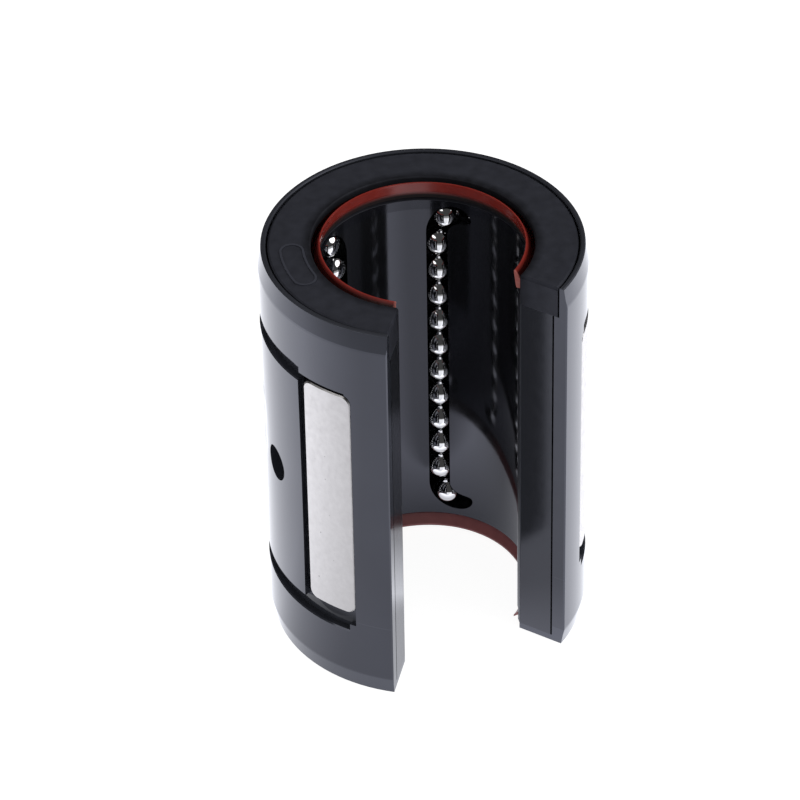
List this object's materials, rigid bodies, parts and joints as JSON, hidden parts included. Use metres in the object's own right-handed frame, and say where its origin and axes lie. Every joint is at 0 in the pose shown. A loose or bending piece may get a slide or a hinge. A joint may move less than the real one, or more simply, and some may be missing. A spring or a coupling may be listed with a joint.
{
  "type": "open linear ball bushing",
  "caption": "Open linear ball bushing for a rail-supported round shaft: slotted plastic sleeve with steel load plates, wiper seals and recirculating steel balls.",
  "frame": {"origin": "on the bore axis at half length", "axes": "+Z along the bore towards the end ring, -Y out through the middle of the slot"},
  "size_m": [0.026, 0.0235, 0.036],
  "materials": {
    "sleeve_plastic": "smooth moulded blue-black plastic",
    "retainer_plastic": "smooth moulded black plastic",
    "ring_plastic": "fine moulded blue-black plastic",
    "seal_rubber": "red-brown elastomer",
    "plate_steel": "fine ground hardened steel",
    "ball_steel": "polished bearing steel"
  },
  "bodies": {
    "housing": {"outer_sleeve": "sleeve_plastic", "ball_retainer": "retainer_plastic", "end_ring": "ring_plastic", "top_seal": "seal_rubber", "bottom_seal": "seal_rubber", "front_left_load_plate": "plate_steel", "front_right_load_plate": "plate_steel", "back_left_load_plate": "plate_steel", "back_right_load_plate": "plate_steel"},
    "front_left_loaded": {"front_left_loaded_balls": "ball_steel"},
    "front_left_return": {"front_left_return_balls": "ball_steel"},
    "front_left_top_turn": {"front_left_top_turn_balls": "ball_steel"},
    "front_left_bottom_turn": {"front_left_bottom_turn_balls": "ball_steel"},
    "front_right_loaded": {"front_right_loaded_balls": "ball_steel"},
    "front_right_return": {"front_right_return_balls": "ball_steel"},
    "front_right_top_turn": {"front_right_top_turn_balls": "ball_steel"},
    "front_right_bottom_turn": {"front_right_bottom_turn_balls": "ball_steel"},
    "back_left_loaded": {"back_left_loaded_balls": "ball_steel"},
    "back_left_return": {"back_left_return_balls": "ball_steel"},
    "back_left_top_turn": {"back_left_top_turn_balls": "ball_steel"},
    "back_left_bottom_turn": {"back_left_bottom_turn_balls": "ball_steel"},
    "back_right_loaded": {"back_right_loaded_balls": "ball_steel"},
    "back_right_return": {"back_right_return_balls": "ball_steel"},
    "back_right_top_turn": {"back_right_top_turn_balls": "ball_steel"},
    "back_right_bottom_turn": {"back_right_bottom_turn_balls": "ball_steel"}
  },
  "joints": [
    {"name": "front_left_loaded_roll", "type": "slide", "parent": "housing", "child": "front_left_loaded", "axis": [0, 0, 1], "range_m": [-0.00128, 0.00128]},
    {"name": "front_left_return_roll", "type": "slide", "parent": "housing", "child": "front_left_return", "axis": [0, 0, 1], "range_m": [-0.00128, 0.00128]},
    {"name": "front_left_top_turn_roll", "type": "hinge", "parent": "housing", "child": "front_left_top_turn", "pos_m": [-0.00916, -0.00309, 0.01281], "axis": [-0.8066, -0.5911, 0], "range_deg": [-45, 45]},
    {"name": "front_left_bottom_turn_roll", "type": "hinge", "parent": "housing", "child": "front_left_bottom_turn", "pos_m": [-0.00916, -0.00309, -0.01281], "axis": [-0.8066, -0.5911, 0], "range_deg": [-45, 45]},
    {"name": "front_right_loaded_roll", "type": "slide", "parent": "housing", "child": "front_right_loaded", "axis": [0, 0, 1], "range_m": [-0.00128, 0.00128]},
    {"name": "front_right_return_roll", "type": "slide", "parent": "housing", "child": "front_right_return", "axis": [0, 0, 1], "range_m": [-0.00128, 0.00128]},
    {"name": "front_right_top_turn_roll", "type": "hinge", "parent": "housing", "child": "front_right_top_turn", "pos_m": [0.00916, -0.00309, 0.01281], "axis": [-0.8066, 0.5911, 0], "range_deg": [-45, 45]},
    {"name": "front_right_bottom_turn_roll", "type": "hinge", "parent": "housing", "child": "front_right_bottom_turn", "pos_m": [0.00916, -0.00309, -0.01281], "axis": [-0.8066, 0.5911, 0], "range_deg": [-45, 45]},
    {"name": "back_left_loaded_roll", "type": "slide", "parent": "housing", "child": "back_left_loaded", "axis": [0, 0, 1], "range_m": [-0.00128, 0.00128]},
    {"name": "back_left_return_roll", "type": "slide", "parent": "housing", "child": "back_left_return", "axis": [0, 0, 1], "range_m": [-0.00128, 0.00128]},
    {"name": "back_left_top_turn_roll", "type": "hinge", "parent": "housing", "child": "back_left_top_turn", "pos_m": [-0.00652, 0.00713, 0.01281], "axis": [0.4205, -0.9073, 0], "range_deg": [-45, 45]},
    {"name": "back_left_bottom_turn_roll", "type": "hinge", "parent": "housing", "child": "back_left_bottom_turn", "pos_m": [-0.00652, 0.00713, -0.01281], "axis": [0.4205, -0.9073, 0], "range_deg": [-45, 45]},
    {"name": "back_right_loaded_roll", "type": "slide", "parent": "housing", "child": "back_right_loaded", "axis": [0, 0, 1], "range_m": [-0.00128, 0.00128]},
    {"name": "back_right_return_roll", "type": "slide", "parent": "housing", "child": "back_right_return", "axis": [0, 0, 1], "range_m": [-0.00128, 0.00128]},
    {"name": "back_right_top_turn_roll", "type": "hinge", "parent": "housing", "child": "back_right_top_turn", "pos_m": [0.00652, 0.00713, 0.01281], "axis": [0.4205, 0.9073, 0], "range_deg": [-45, 45]},
    {"name": "back_right_bottom_turn_roll", "type": "hinge", "parent": "housing", "child": "back_right_bottom_turn", "pos_m": [0.00652, 0.00713, -0.01281], "axis": [0.4205, 0.9073, 0], "range_deg": [-45, 45]}
  ],
  "couplings": [
    {"joint": "front_left_return_roll", "follows": "front_left_loaded_roll", "ratio": -1},
    {"joint": "front_left_top_turn_roll", "follows": "front_left_loaded_roll", "rad_per_m": 613.06},
    {"joint": "front_left_bottom_turn_roll", "follows": "front_left_loaded_roll", "rad_per_m": 613.06},
    {"joint": "front_right_return_roll", "follows": "front_right_loaded_roll", "ratio": -1},
    {"joint": "front_right_top_turn_roll", "follows": "front_right_loaded_roll", "rad_per_m": 613.06},
    {"joint": "front_right_bottom_turn_roll", "follows": "front_right_loaded_roll", "rad_per_m": 613.06},
    {"joint": "back_left_return_roll", "follows": "back_left_loaded_roll", "ratio": -1},
    {"joint": "back_left_top_turn_roll", "follows": "back_left_loaded_roll", "rad_per_m": 613.06},
    {"joint": "back_left_bottom_turn_roll", "follows": "back_left_loaded_roll", "rad_per_m": 613.06},
    {"joint": "back_right_return_roll", "follows": "back_right_loaded_roll", "ratio": -1},
    {"joint": "back_right_top_turn_roll", "follows": "back_right_loaded_roll", "rad_per_m": 613.06},
    {"joint": "back_right_bottom_turn_roll", "follows": "back_right_loaded_roll", "rad_per_m": 613.06}
  ]
}
